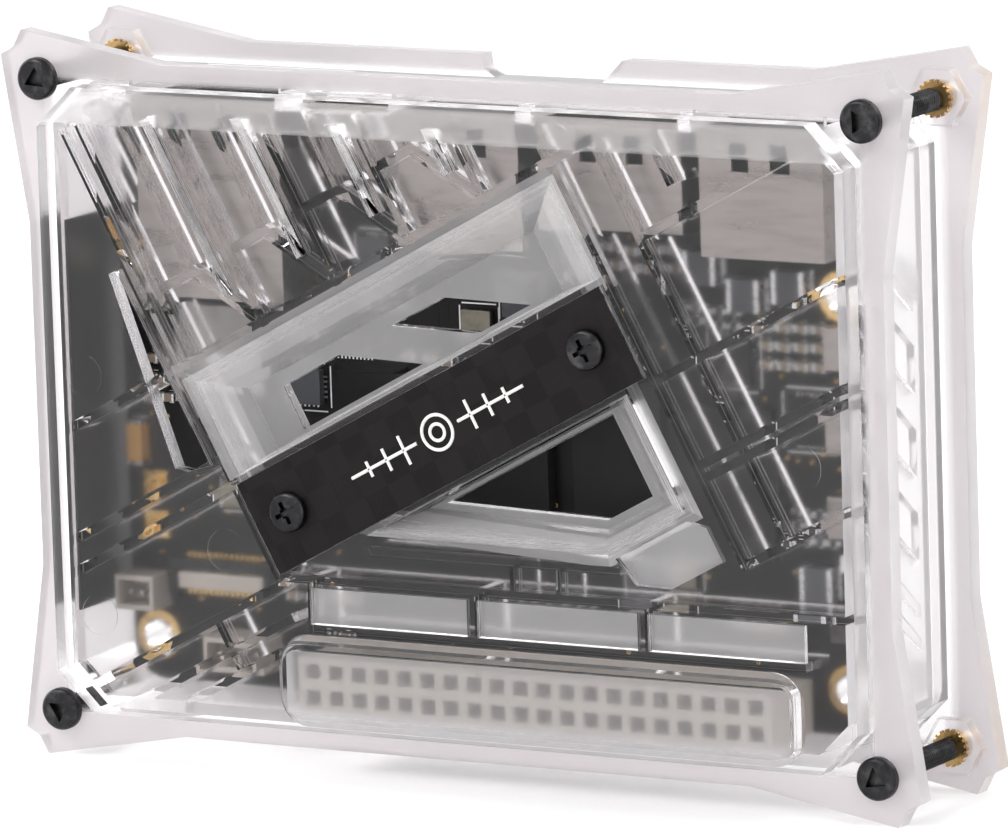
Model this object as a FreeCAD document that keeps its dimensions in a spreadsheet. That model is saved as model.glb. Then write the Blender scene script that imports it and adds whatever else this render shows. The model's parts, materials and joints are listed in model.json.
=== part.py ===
"""Single board computer in a clear two-shell case.

The case stands on the corner tips of its flanges: X runs along the case, the front faces -Y and +Z is up.
Every piece is drawn in the case's own frame, with X and Z from the middle of the case and Y from the front
face of the front flange, and its Placement then moves it so that the origin is at the bottom centre.
"""
import FreeCAD
import Part
import Sketcher

import math
import os

Vector = FreeCAD.Vector
Rotation = FreeCAD.Rotation
Placement = FreeCAD.Placement

doc = FreeCAD.newDocument("single_board_computer")
sheet = doc.addObject("Spreadsheet::Sheet", "Dimensions")
nodes = []


class Size:
    """A length with its value and the expression that works it out from the sheet."""

    def __init__(self, value, text):
        self.value = value
        self.text = text

    def __add__(self, other):
        return Size(self.value + value_of(other), "(%s + %s)" % (self.text, text_of(other)))

    def __radd__(self, other):
        return Size(value_of(other) + self.value, "(%s + %s)" % (text_of(other), self.text))

    def __sub__(self, other):
        return Size(self.value - value_of(other), "(%s - %s)" % (self.text, text_of(other)))

    def __rsub__(self, other):
        return Size(value_of(other) - self.value, "(%s - %s)" % (text_of(other), self.text))

    def __mul__(self, factor):
        return Size(self.value * factor, "(%s * %.6g)" % (self.text, factor))

    def __rmul__(self, factor):
        return self * factor

    def __truediv__(self, divisor):
        return Size(self.value / divisor, "(%s / %.6g)" % (self.text, divisor))

    def __neg__(self):
        return Size(-self.value, "(0 - %s)" % self.text)


def value_of(size):
    return size.value if isinstance(size, Size) else float(size)


def text_of(size):
    return size.text if isinstance(size, Size) else "%.6g" % size


def dimension(alias, value):
    """One named cell of the sheet."""
    row = dimension.next_row
    dimension.next_row += 1
    sheet.set("A%d" % row, alias)
    sheet.set("B%d" % row, "%.6g" % value)
    sheet.setAlias("B%d" % row, alias)
    return Size(value, "Dimensions.%s" % alias)


dimension.next_row = 1

# Case
case_width = dimension("case_width", 98.4)
case_height = dimension("case_height", 71.4)
shell_width = dimension("shell_width", 87.8)
shell_height = dimension("shell_height", 61.4)
shell_chamfer = dimension("shell_chamfer", 4.0)
wall = dimension("wall_thickness", 1.6)
skin = dimension("skin_thickness", 1.8)
front_proud = dimension("front_proud", 2.4)
bubble_proud = dimension("bubble_proud", 1.0)
flange = dimension("flange_thickness", 2.0)
flange_waist_x = dimension("flange_waist_x", 46.6)
flange_waist_z = dimension("flange_waist_z", 32.9)
seam = dimension("seam_depth", 13.0)
seam_gap = dimension("seam_gap", 0.1)
back_flange = dimension("back_flange_depth", 16.1)
rib_depth = dimension("rib_depth", 4.2)
rib_width = dimension("rib_width", 0.9)
ledge_z = dimension("top_ledge_z", 27.2)
ledge_depth = dimension("top_ledge_depth", 1.1)
recess_floor = dimension("recess_floor", 0.6)
recess_skin = dimension("recess_skin", 1.4)
panel_x = dimension("panel_centre_x", -0.31)
panel_z = dimension("panel_centre_z", -0.56)
PANEL_TILT = 28.0

# Fasteners
screw_x = dimension("screw_spacing_x", 89.7)
screw_z = dimension("screw_spacing_z", 62.1)
screw_head_radius = dimension("screw_head_radius", 2.08)
screw_head_height = dimension("screw_head_height", 1.0)
screw_shank_radius = dimension("screw_shank_radius", 1.0)
screw_end = dimension("screw_end_depth", 15.6)
screw_hole_radius = dimension("screw_hole_radius", 1.15)
insert_radius = dimension("insert_radius", 1.5)
insert_end = dimension("insert_end_depth", 16.8)
rear_hole_radius = dimension("rear_hole_radius", 1.3)
boss_height = dimension("boss_height", 1.3)
boss_across = dimension("boss_across_flats", 5.3)
plate_length = dimension("plate_length", 45.8)
plate_height = dimension("plate_height", 9.6)
plate_thickness = dimension("plate_thickness", 1.2)
plate_screw_spacing = dimension("plate_screw_spacing", 37.6)
plate_screw_radius = dimension("plate_screw_head_radius", 1.95)

# Board
board_width = dimension("board_width", 82.0)
board_height = dimension("board_height", 58.0)
board_front = dimension("board_front_depth", 8.0)
board_thickness = dimension("board_thickness", 1.2)
board_corner = dimension("board_corner_radius", 3.5)
hole_x = dimension("board_hole_x", 38.2)
hole_z = dimension("board_hole_z", 24.6)
hole_top_z = dimension("board_hole_top_z", 13.0)
hole_radius = dimension("board_hole_radius", 1.5)
socket_end = dimension("socket_mouth_z", 29.6)
header_pitch = dimension("header_pitch", 2.54)
header_centre_x = dimension("header_centre_x", 8.3)
header_centre_z = dimension("header_centre_z", -26.4)
header_height = dimension("header_height", 8.5)
HEADER_COLUMNS = 20

# Keys
key_pitch = dimension("key_pitch", 8.0)
key_width = dimension("key_width", 4.4)
key_low = dimension("key_low_depth", 3.8)
key_high = dimension("key_high_depth", 10.2)
key_lean = dimension("key_lean", 5.0)
key_gap = dimension("key_gap", 0.25)
key_proud = dimension("key_proud", 0.4)
key_centre_z = dimension("key_centre_z", 0.5)
KEY_NAMES = ("power", "function", "reset")

panel_face = -front_proud
skin_back = panel_face + skin
inner_x = shell_width / 2 - wall
inner_z = shell_height / 2 - wall
board_back = board_front + board_thickness
case_back = back_flange + flange
mid_depth = (case_back - front_proud - bubble_proud) / 2


# Building blocks

def bind(thing, name, size):
    thing.setExpression(name, text_of(size))


def move(thing, x=0, y=0, z=0):
    bind(thing, "Placement.Base.x", x)
    bind(thing, "Placement.Base.y", y)
    bind(thing, "Placement.Base.z", z)
    return thing


def block(name, x, y, z):
    """A box from the low to the high end of each axis."""
    box = doc.addObject("Part::Box", name)
    bind(box, "Length", x[1] - x[0])
    bind(box, "Width", y[1] - y[0])
    bind(box, "Height", z[1] - z[0])
    return move(box, x[0], y[0], z[0])


def rod(name, axis, centre, radius, low, high):
    """A cylinder along X or Y, whose centre gives its place on the other two axes."""
    cylinder = doc.addObject("Part::Cylinder", name)
    bind(cylinder, "Radius", radius)
    bind(cylinder, "Height", high - low)
    a, b = centre
    if axis == "Y":
        cylinder.Placement = Placement(Vector(), Rotation(Vector(1, 0, 0), -90))
        return move(cylinder, a, low, b)
    cylinder.Placement = Placement(Vector(), Rotation(Vector(0, 1, 0), 90))
    return move(cylinder, low, a, b)


def hexagon_rod(name, centre, across, low, high):
    """A hexagonal rod along Y."""
    prism = doc.addObject("Part::Prism", name)
    prism.Polygon = 6
    bind(prism, "Circumradius", across / math.sqrt(3.0))
    bind(prism, "Height", high - low)
    prism.Placement = Placement(Vector(), Rotation(Vector(1, 0, 0), -90))
    return move(prism, centre[0], low, centre[1])


def fuse(name, shapes):
    joined = doc.addObject("Part::MultiFuse", name)
    joined.Shapes = shapes
    return joined


def common(name, base, tool):
    shared = doc.addObject("Part::Common", name)
    shared.Base = base
    shared.Tool = tool
    return shared


def cut(name, base, tools):
    """The base without the tools."""
    cutter = tools[0] if len(tools) == 1 else fuse(name + "_tools", tools)
    remainder = doc.addObject("Part::Cut", name)
    remainder.Base = base
    remainder.Tool = cutter
    return remainder


def draw(sketch, outline):
    """A closed outline whose corners are all placed by the sheet."""
    count = len(outline)
    corners = [Vector(value_of(a), value_of(b), 0) for a, b in outline]
    for index in range(count):
        sketch.addGeometry(Part.LineSegment(corners[index], corners[(index + 1) % count]), False)
    for index in range(count):
        following = (index + 1) % count
        sketch.addConstraint(Sketcher.Constraint("Coincident", index, 2, following, 1))
    for index, (a, b) in enumerate(outline):
        for kind, letter, size in (("DistanceX", "a", a), ("DistanceY", "b", b)):
            placed = sketch.addConstraint(Sketcher.Constraint(kind, -1, 1, index, 1, value_of(size)))
            sketch.renameConstraint(placed, "%s%d" % (letter, index))
            if isinstance(size, Size):
                bind(sketch, "Constraints.%s%d" % (letter, index), size)


def plate(name, outline, low, high, plane="XZ"):
    """A pad of an outline in X and Z between two depths, or of one in Y and Z between two places on X."""
    body = doc.addObject("PartDesign::Body", name)
    sketch = body.newObject("Sketcher::SketchObject", name + "_outline")
    origin_plane = [item for item in body.Origin.OriginFeatures if item.Role == plane + "_Plane"][0]
    sketch.AttachmentSupport = [(origin_plane, "")]
    sketch.MapMode = "FlatFace"
    bind(sketch, "AttachmentOffset.Base.z", -low if plane == "XZ" else low)
    draw(sketch, outline)
    pad = body.newObject("PartDesign::Pad", name + "_pad")
    pad.Profile = sketch
    pad.Reversed = plane == "XZ"
    bind(pad, "Length", high - low)
    body.Tip = pad
    return body


def rounded_plate(name, x, z, low, high, radius):
    """A rectangular plate with its four corners rounded."""
    body = plate(name, [(x[0], z[0]), (x[1], z[0]), (x[1], z[1]), (x[0], z[1])], low, high)
    doc.recompute()
    pad = body.Tip
    along = ["Edge%d" % (index + 1) for index, edge in enumerate(pad.Shape.Edges)
             if abs(edge.Vertexes[0].X - edge.Vertexes[-1].X) < 0.001
             and abs(edge.Vertexes[0].Z - edge.Vertexes[-1].Z) < 0.001]
    fillet = body.newObject("PartDesign::Fillet", name + "_corners")
    fillet.Base = (pad, along)
    bind(fillet, "Radius", radius)
    body.Tip = fillet
    return body


def tapered(name, front_outline, front, back_outline, back):
    """A solid that runs straight from one outline to another of as many corners."""
    sections = []
    for part, outline, depth in (("front", front_outline, front), ("back", back_outline, back)):
        sketch = doc.addObject("Sketcher::SketchObject", "%s_%s" % (name, part))
        sketch.Placement = Placement(Vector(), Rotation(Vector(1, 0, 0), 90))
        bind(sketch, "Placement.Base.y", depth)
        draw(sketch, outline)
        sections.append(sketch)
    loft = doc.addObject("Part::Loft", name)
    loft.Sections = sections
    loft.Solid = True
    loft.Ruled = True
    return loft


def rectangle(x, z):
    return [(x[0], z[0]), (x[1], z[0]), (x[1], z[1]), (x[0], z[1])]


def tilt(name, shapes):
    """Shapes drawn along and across the name plate, turned into the case's frame."""
    turned = fuse(name, shapes) if len(shapes) > 1 else doc.addObject("Part::Compound", name)
    if len(shapes) == 1:
        turned.Links = shapes
    turned.Placement = Placement(Vector(), Rotation(Vector(0, 1, 0), -PANEL_TILT))
    return move(turned, panel_x, 0, panel_z)


def finish(label, shapes):
    """One sub-part: its solids, moved so that the origin is at the bottom centre of the case."""
    node = doc.addObject("Part::Compound", "node_" + label)
    node.Links = shapes if isinstance(shapes, list) else [shapes]
    node.Label = label
    move(node, 0, -mid_depth, case_height / 2)
    nodes.append(node)


def four_corners(x, z):
    return [(side * x, level * z) for side in (-1, 1) for level in (-1, 1)]


# Outlines

def chamfered_rectangle(half_x, half_z, corner):
    return [(half_x, corner - half_z), (half_x, half_z - corner), (half_x - corner, half_z),
            (corner - half_x, half_z), (-half_x, half_z - corner), (-half_x, corner - half_z),
            (corner - half_x, -half_z), (half_x - corner, -half_z)]


def flange_outline(top_notch=False):
    """Waisted on all four sides, with a stepped nick at each corner."""
    half_x = case_width / 2
    half_z = case_height / 2
    quarter = [(flange_waist_x, 16.8), (half_x, half_z - 2.5), (half_x - 1.05, half_z - 1.95),
               (half_x - 1.5, half_z - 1.65), (half_x - 2.4, half_z), (31.0, flange_waist_z)]
    outline = list(quarter)
    if top_notch:
        outline += [(10.6, flange_waist_z), (8.4, shell_height / 2), (-3.4, shell_height / 2),
                    (-4.6, shell_height / 2 + 0.9), (-4.8, flange_waist_z)]
    outline += [(-x, z) for x, z in reversed(quarter)]
    outline += [(-x, -z) for x, z in quarter]
    outline += [(x, -z) for x, z in reversed(quarter)]
    return outline


shell_outline = chamfered_rectangle(shell_width / 2, shell_height / 2, shell_chamfer)
# The wall keeps its thickness across the chamfered corners
inner_chamfer = shell_chamfer - wall * (2.0 - math.sqrt(2.0))
hollow_outline = chamfered_rectangle(inner_x, inner_z, inner_chamfer)


# Sockets on the top edge of the board: low x, high x, front, back, depth of the socket along Z
NETWORK = (-34.9, -18.9, 1.7, 15.2, 19.4)
USB_C = (-16.4, -7.4, 4.7, 8.0, 7.4)
USB_LEFT = (-5.6, 7.5, 1.5, 8.0, 13.0)
VIDEO = (9.6, 24.6, 2.3, 8.0, 10.6)
USB_RIGHT = (26.9, 40.0, 1.5, 8.0, 12.4)
SOCKETS = (NETWORK, USB_C, USB_LEFT, VIDEO, USB_RIGHT)
SOCKET_CLEARANCE = 0.35


def socket_windows(prefix):
    """The holes in the top wall that the sockets look out of."""
    holes = []
    for index, (low, high, front, back, _) in enumerate(SOCKETS):
        holes.append(block("%s_%d" % (prefix, index),
                           (low - SOCKET_CLEARANCE, high + SOCKET_CLEARANCE),
                           (front - SOCKET_CLEARANCE, back + SOCKET_CLEARANCE),
                           (inner_z - 1.3, shell_height / 2 + 0.6)))
    return holes


def socket_rooms():
    """The room that the front shell's ribs leave round each socket."""
    return [block("socket_room_%d" % index, (low - 0.5, high + 0.5), (front - 0.4, seam),
                  (socket_end - depth - 0.5, inner_z + 0.1))
            for index, (low, high, front, _, depth) in enumerate(SOCKETS)]


# Front shell

LOUVRE_PITCH = 9.3
LOUVRE_STARTS = [-22.6 + LOUVRE_PITCH * step for step in range(5)]


def tilted_rib(name, u, v):
    return block(name, u, (skin_back - 0.4, rib_depth), v)


def rib_across(name, u, low, high):
    """A rib square to the name plate."""
    return tilted_rib(name, (u, rib_width + u), (low, high))


def rib_along(name, v, low, high):
    """A rib parallel to the name plate."""
    return tilted_rib(name, (low, high), (v, rib_width + v))


def louvre_ribs():
    """The repeated cells above the name plate: two ribs, a ledge and a leaning strut each."""
    ribs = []
    for index, start in enumerate(LOUVRE_STARTS):
        ribs.append(rib_across("louvre_main_%d" % index, start, 17.0, 46.0))
        if index < 4:
            ribs.append(rib_across("louvre_second_%d" % index, start + 4.4, 24.6, 46.0))
            ribs.append(rib_along("louvre_ledge_%d" % index, 24.6, start, start + 5.0))
            strut = plate("louvre_strut_%d" % index,
                          [(start + 4.4, 24.7), (start + 5.3, 25.5),
                           (start + 9.6, 18.6), (start + 8.8, 17.6)],
                          skin_back - 0.4, rib_depth)
            ribs.append(strut)
    return ribs


def panel_ribs():
    """The long ribs that cross the front, along and across the name plate."""
    across = (("left_long", -24.4, -5.4, 46.0), ("left_cross", -32.8, -10.9, -5.4),
              ("right_first", 22.7, -24.9, 23.4), ("right_second", 28.0, -24.9, 17.6),
              ("right_short", 33.6, 10.0, 17.6))
    along = (("channel", 17.1, -50.0, 28.8), ("left_upper", 7.4, -50.0, -24.0),
             ("left_middle", 4.6, -50.0, -24.0), ("strut_top", -6.0, -50.0, -23.5),
             ("strut_bottom", -9.4, -50.0, -24.5), ("strut_last", -11.8, -50.0, -26.0),
             ("right_top", 6.6, 28.0, 60.0), ("right_middle", -5.9, 23.0, 60.0),
             ("right_pair_a", -14.9, 23.0, 60.0), ("right_pair_b", -16.2, 23.0, 60.0),
             ("right_low", -25.2, 22.7, 60.0), ("box_top", 22.7, 18.0, 23.2))
    ribs = [rib_across(name, u, low, high) for name, u, low, high in across]
    ribs += [rib_along(name, v, low, high) for name, v, low, high in along]
    return ribs


def level_ribs():
    """The ribs that lie level, between the recesses and the pin socket's bubble."""
    depth = (skin_back - 0.4, rib_depth)
    return [block("beam_top", (-19.0, 43.0), depth, (-16.5, -15.7)),
            block("beam_bottom", (-16.0, 38.0), depth, (-21.3, -20.5)),
            block("beam_left", (-16.0, -15.1), depth, (-21.0, -16.0)),
            block("beam_middle", (2.4, 3.3), depth, (-21.0, -16.0)),
            block("beam_right", (20.9, 21.8), depth, (-21.0, -16.0)),
            block("step_line", (-9.4, 18.4), depth, (-13.4, -12.6)),
            block("tick_left", (6.4, 7.0), depth, (-16.0, -13.0)),
            block("tick_right", (11.4, 12.0), depth, (-16.0, -13.0)),
            block("top_ledge", (-shell_width / 2, shell_width / 2), (skin_back - 0.4, ledge_depth),
                  (ledge_z, shell_height / 2))]


def recess_dishes():
    """The skins of the two sunk fields above and below the name plate, and what is cut out of them."""
    far = recess_floor + recess_skin
    upper_out = tapered("upper_dish", rectangle((-25.0, 25.4), (4.0, 17.8)), skin_back - 0.6,
                        rectangle((-20.4, 19.2), (5.0, 14.4)), far)
    upper_in = tapered("upper_field", rectangle((-23.4, 23.8), (5.4, 16.2)), panel_face - 0.01,
                       rectangle((-18.6, 17.4), (6.3, 12.6)), recess_floor)
    lower_out = tapered("lower_dish", [(-16.0, -4.0), (9.8, -19.4), (22.0, -19.4), (22.0, -4.0)],
                        skin_back - 0.6,
                        [(-9.4, -4.6), (9.6, -17.0), (18.8, -17.0), (18.8, -4.6)], far)
    lower_in = tapered("lower_field", [(-12.3, -5.4), (11.0, -17.9), (20.6, -17.9), (20.6, -5.4)],
                       panel_face - 0.01,
                       [(-6.0, -5.8), (10.6, -15.6), (17.3, -15.6), (17.3, -5.8)], recess_floor)
    return tilt("dishes", [upper_out, lower_out]), tilt("fields", [upper_in, lower_in])


def recess_windows():
    """The three openings through the sunk fields, with leaning bars left between the upper two."""
    through = (0.0, rib_depth + 0.5)
    left = plate("window_left", [(-15.2, 6.65), (0.05, 6.65), (-8.0, 11.3), (-15.2, 11.3)], *through)
    upper = plate("window_upper", [(7.0, 6.65), (13.6, 6.65), (5.3, 11.3), (-1.25, 11.3)], *through)
    lower = plate("window_lower", [(-4.4, -6.1), (10.9, -14.8), (16.5, -14.8), (16.5, -6.1)], *through)
    return tilt("windows", [left, upper, lower])


def slots():
    """The narrow slots beside the louvre ribs and the tapering one beside the long left rib."""
    through = (panel_face - 0.5, skin_back + 0.2)
    narrow = [block("slot_%d" % index, (start - 1.7, start - 0.5), through, (21.0, 40.0))
              for index, start in enumerate(LOUVRE_STARTS[1:])]
    field = plate("slot_field", [(-37.0, 28.4), (-37.0, 0.0), (20.0, 0.0), (20.0, 28.4)], *through)
    side_outline = [(-24.7, 28.6), (-25.6, 28.6), (-28.4, 9.0), (-27.4, 8.2), (-24.7, 7.6)]
    side = plate("side_slot", side_outline, *through)
    return [common("slots_in_field", tilt("slots", narrow), field), tilt("side_slot_place", [side])]


def shallow_pockets():
    """The cells of the bottom beam, the six-sided pocket beside it and the round moulding marks."""
    sunk = (panel_face - 0.1, panel_face + 0.8)
    cells = [block("beam_cell_%d" % index, x, sunk, (-20.2, -16.6))
             for index, x in enumerate(((-15.0, 2.3), (3.4, 20.8), (21.9, 38.6)))]
    six_sided = plate("six_sided", [(11.6, -18.6), (20.3, -18.6), (22.0, -20.0), (22.0, -23.6), (15.5, -23.6),
                                    (12.4, -21.8)], *sunk)
    marks = [rod("mark_%d" % index, "Y", place, radius, panel_face - 0.1, panel_face + 0.08)
             for index, (place, radius) in enumerate((((-39.6, 2.6), 2.0), ((-24.2, -13.6), 2.1),
                                                      ((-38.8, -20.9), 2.0), ((38.6, -1.6), 2.2),
                                                      ((13.6, 28.6), 1.1), ((22.9, 25.8), 2.3)))]
    return cells + [tilt("six_sided_place", [six_sided])] + marks


BUBBLE_CORNER = 3.2
BUBBLE_BEVEL = 0.8
ROOM_CORNER = 0.8


def header_bubble():
    """The raised cover over the pin socket, with round corners and a bevelled rim, and the room inside it."""
    top = panel_face - bubble_proud
    outside = rounded_plate("bubble_outside", (-18.6, 38.4), (-30.2, -21.2), top, skin_back, BUBBLE_CORNER)
    doc.recompute()
    rounded = outside.Tip
    rim = ["Edge%d" % (index + 1) for index, edge in enumerate(rounded.Shape.Edges)
           if edge.BoundBox.YMax < value_of(top) + 0.001]
    bevel = outside.newObject("PartDesign::Chamfer", "bubble_bevel")
    bevel.Base = (rounded, rim)
    bevel.Size = BUBBLE_BEVEL
    outside.Tip = bevel
    room = rounded_plate("bubble_room", (-17.9, 36.8), (-29.1, -22.9), -2.0, seam, ROOM_CORNER)
    return outside, room


def plate_screw_places():
    return [(-plate_screw_spacing / 2, 0.1), (plate_screw_spacing / 2, 0.1)]


def key_outline(centre, gap):
    """A leaning four-sided key in Y and Z: its lower edge drops as it runs back."""
    low = key_low - gap
    high = key_high + gap
    half = key_width / 2 + gap
    shift = key_lean / 2
    return [(low, centre + shift - half), (high, centre - shift - half),
            (high, centre - shift + half), (low, centre + shift + half)]


def key_centre(index):
    return key_centre_z + key_pitch * (1 - index)


def side_relief():
    """Leaning ribs on the right wall, in line with the keys."""
    ribs = []
    for index, centre in enumerate((-14.6, -17.8, 14.6)):
        outline = [(3.8, centre + 1.9), (10.2, centre - 3.1), (10.2, centre - 1.9), (3.8, centre + 3.1)]
        ribs.append(plate("relief_%d" % index, outline, shell_width / 2 - 0.2, shell_width / 2 + 0.4, "YZ"))
    return ribs


def front_shell():
    block_outside = plate("front_outside", shell_outline, panel_face, seam)
    flange_plate = plate("front_flange", flange_outline(), 0, flange)
    bubble, bubble_room = header_bubble()
    blank = fuse("front_blank", [block_outside, flange_plate, bubble] + side_relief())
    hollow = plate("front_hollow", hollow_outline, skin_back, seam + 1.0)
    shell = cut("front_empty", blank, [hollow])

    clip = plate("rib_clip", chamfered_rectangle(inner_x + 0.4, inner_z + 0.4, inner_chamfer),
                 skin_back - 0.5, rib_depth)
    ribs = fuse("all_ribs", [tilt("tilted_ribs", louvre_ribs() + panel_ribs())] + level_ribs())
    header_room = block("header_room", (-19.4, 38.6), (skin_back - 1.0, seam), (-29.3, -21.6))
    key_room = block("key_room", (inner_x - 1.05, inner_x + 0.5), (2.6, seam), (-14.2, 15.6))
    antenna_room = block("antenna_room", (-inner_x - 0.5, -inner_x + 0.5), (-0.4, seam), (-21.4, 18.0))
    rib_part = cut("rib_part", common("clipped_ribs", ribs, clip),
                   [header_room, key_room, antenna_room])

    dishes, fields = recess_dishes()
    inside = cut("inside_parts", fuse("inside_blank", [rib_part, dishes]), socket_rooms())
    bosses = [rod("plate_boss_%d" % index, "Y", place, 2.2, skin_back - 0.6, 3.2)
              for index, place in enumerate(plate_screw_places())]
    solid = fuse("front_solid", [shell, inside, tilt("plate_bosses", bosses)])

    pocket_block = block("plate_pocket", (-plate_length / 2 - 0.05, plate_length / 2 + 0.05),
                         (panel_face - 0.1, panel_face + plate_thickness),
                         (-plate_height / 2 - 0.05, plate_height / 2 + 0.05))
    pocket = tilt("plate_pocket_place", [pocket_block])
    plate_holes = tilt("plate_holes", [rod("plate_hole_%d" % index, "Y", place, 0.8, panel_face - 0.1, 2.4)
                                       for index, place in enumerate(plate_screw_places())])
    screw_holes = [rod("flange_hole_%d" % index, "Y", place, screw_hole_radius, -1.0, flange + 1.0)
                   for index, place in enumerate(four_corners(screw_x / 2, screw_z / 2))]
    key_holes = [plate("key_hole_%d" % index, key_outline(key_centre(index), key_gap),
                       inner_x - 0.2, shell_width / 2 + 1.0, "YZ") for index in range(3)]
    card_mouth = block("card_mouth", (-34.4, -21.6), (board_back + 0.1, board_back + 1.7), (-31.5, -28.6))
    return cut("front_shell_body", solid,
               [fields, recess_windows(), pocket, plate_holes, bubble_room, card_mouth]
               + slots() + shallow_pockets() + screw_holes + key_holes + socket_windows("front_window"))


# Back shell

def back_shell():
    plate_part = plate("back_plate", flange_outline(top_notch=True), back_flange, case_back)
    rim = plate("back_rim", shell_outline, seam + seam_gap, back_flange + 0.1)
    rim_hollow = plate("back_rim_hollow", hollow_outline, seam - 0.1, back_flange)
    posts = []
    for index, (x, z) in enumerate(board_hole_places()):
        posts.append(rod("post_%d" % index, "Y", (x, z), 2.6, board_back, back_flange + 0.2))
        posts.append(rod("post_pin_%d" % index, "Y", (x, z), 1.35, board_front - 0.4, board_back + 0.1))
    bosses = [hexagon_rod("boss_%d" % index, place, boss_across, back_flange - boss_height, back_flange + 0.2)
              for index, place in enumerate(four_corners(screw_x / 2, screw_z / 2))]
    boss_clear = plate("boss_clear", shell_outline, seam - 0.5, back_flange)
    outer_bosses = cut("outer_bosses", fuse("boss_set", bosses), [boss_clear])
    walls = cut("back_walls", rim, [rim_hollow])
    solid = fuse("back_solid", [plate_part, walls, outer_bosses] + posts)
    insert_holes = []
    for index, place in enumerate(four_corners(screw_x / 2, screw_z / 2)):
        insert_holes.append(rod("insert_hole_%d" % index, "Y", place, insert_radius,
                                back_flange - boss_height - 1.0, insert_end))
        insert_holes.append(rod("rear_hole_%d" % index, "Y", place, rear_hole_radius,
                                insert_end - 0.1, case_back + 1.0))
    vents = [block("vent_%d" % index, (x, x + 1.8), (back_flange - 1.0, case_back + 1.0), (-9.0, 9.0))
             for index, x in enumerate([-22.6 + 4.8 * step for step in range(10)])]
    return cut("back_shell_body", solid, insert_holes + vents + socket_windows("back_window"))


def board_hole_places():
    return [(-hole_x, -hole_z), (hole_x, -hole_z), (-hole_x, hole_top_z), (hole_x, hole_top_z)]


# Fasteners and name plate

def triangle(centre, radius, turn):
    """Three corners round a centre, the first of them turned that many degrees from straight up."""
    angles = [math.radians(turn + 120 * corner) for corner in range(3)]
    return [(centre[0] - radius * math.sin(angle), centre[1] + radius * math.cos(angle)) for angle in angles]


# Degrees from straight up, for the bottom left, top left, bottom right and top right screws
DRIVE_TURNS = (182.0, -4.0, 8.0, -88.0)


HEAD_ROUND = 0.5
DRIVE_FLOOR = 0.35
DRIVE_SHARE = 0.6


def case_screws():
    """Black machine screws with a domed edge and a three-sided recess."""
    screws = []
    for index, place in enumerate(four_corners(screw_x / 2, screw_z / 2)):
        head = rod("head_%d" % index, "Y", place, screw_head_radius, -screw_head_height, 0)
        rim = doc.addObject("Part::Fillet", "head_round_%d" % index)
        doc.recompute()
        rim.Base = head
        front_edge = [number + 1 for number, edge in enumerate(head.Shape.Edges)
                      if abs(edge.BoundBox.YMax + value_of(screw_head_height)) < 0.001][0]
        rim.Edges = [(front_edge, HEAD_ROUND, HEAD_ROUND)]
        shank = rod("shank_%d" % index, "Y", place, screw_shank_radius, -0.3, screw_end)
        corners = triangle(place, screw_head_radius * DRIVE_SHARE, DRIVE_TURNS[index])
        recess = plate("drive_%d" % index, corners, -screw_head_height - 0.1, -DRIVE_FLOOR)
        screws.append(cut("case_screw_%d" % index, fuse("screw_blank_%d" % index, [rim, shank]), [recess]))
    return screws


TOOTH_PROUD = 0.32
TOOTH_LONG = 0.5
TOOTH_HALF = 0.13


def spoke(name, place, low, angle):
    """A thin bar across an insert, turned about its axis: each end makes one tooth."""
    half = insert_radius + TOOTH_PROUD
    bar = block(name + "_bar", (-half, half), (0, TOOTH_LONG), (-TOOTH_HALF, TOOTH_HALF))
    turned = doc.addObject("Part::Compound", name)
    turned.Links = [bar]
    turned.Placement = Placement(Vector(), Rotation(Vector(0, 1, 0), angle))
    return move(turned, place[0], low, place[1])


def threaded_inserts():
    """Brass inserts with a toothed outside, pressed into the back shell's bosses."""
    inserts = []
    low = back_flange - boss_height - TOOTH_LONG
    for index, place in enumerate(four_corners(screw_x / 2, screw_z / 2)):
        core = rod("insert_core_%d" % index, "Y", place, insert_radius, low, insert_end)
        crown = rod("insert_crown_%d" % index, "Y", place, insert_radius + 0.1, low, low + TOOTH_LONG)
        teeth = [spoke("tooth_%d_%d" % (index, step), place, low, 20.0 * step) for step in range(9)]
        thread = rod("insert_thread_%d" % index, "Y", place, screw_shank_radius, low - 0.5, insert_end + 0.5)
        blank = fuse("insert_blank_%d" % index, [core, crown] + teeth)
        inserts.append(cut("insert_%d" % index, blank, [thread]))
    return inserts


def name_plate():
    face = block("plate_face", (-plate_length / 2, plate_length / 2),
                 (panel_face, panel_face + plate_thickness), (-plate_height / 2, plate_height / 2))
    holes = [rod("plate_bore_%d" % index, "Y", place, 0.9, panel_face - 0.1, 0)
             for index, place in enumerate(plate_screw_places())]
    return tilt("name_plate_place", [cut("name_plate_body", face, holes)])


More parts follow.
